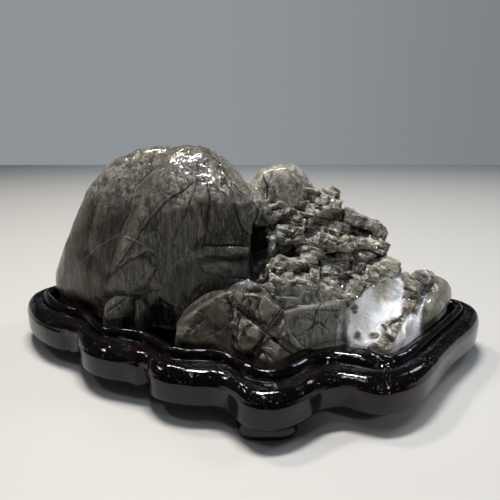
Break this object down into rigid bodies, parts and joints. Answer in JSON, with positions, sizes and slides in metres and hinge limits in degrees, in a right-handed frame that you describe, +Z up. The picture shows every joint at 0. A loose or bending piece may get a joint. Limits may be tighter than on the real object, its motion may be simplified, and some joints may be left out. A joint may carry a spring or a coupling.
{
  "type": "viewing stone on a stand",
  "caption": "Natural mountain-shaped viewing stone with a tall dome, a craggy slope and a white mineral patch, seated in a lobed black lacquered wooden stand on low feet.",
  "frame": {"origin": "on the surface the feet stand on, under the middle of the stand's footprint", "axes": "+X along the length of the stand towards the stone's low white end, +Y towards the back, +Z up"},
  "size_m": [0.2276, 0.1402, 0.0978],
  "materials": {
    "rock": "waxed natural limestone, semi-gloss on the smooth faces, with white calcite at the right end",
    "lacquered_wood": "high-gloss black lacquer over carved hardwood"
  },
  "bodies": {
    "root": {"stone": "rock", "stand": "lacquered_wood", "foot_front": "lacquered_wood", "foot_left": "lacquered_wood", "foot_right": "lacquered_wood", "foot_back_left": "lacquered_wood", "foot_back_right": "lacquered_wood"}
  },
  "joints": []
}
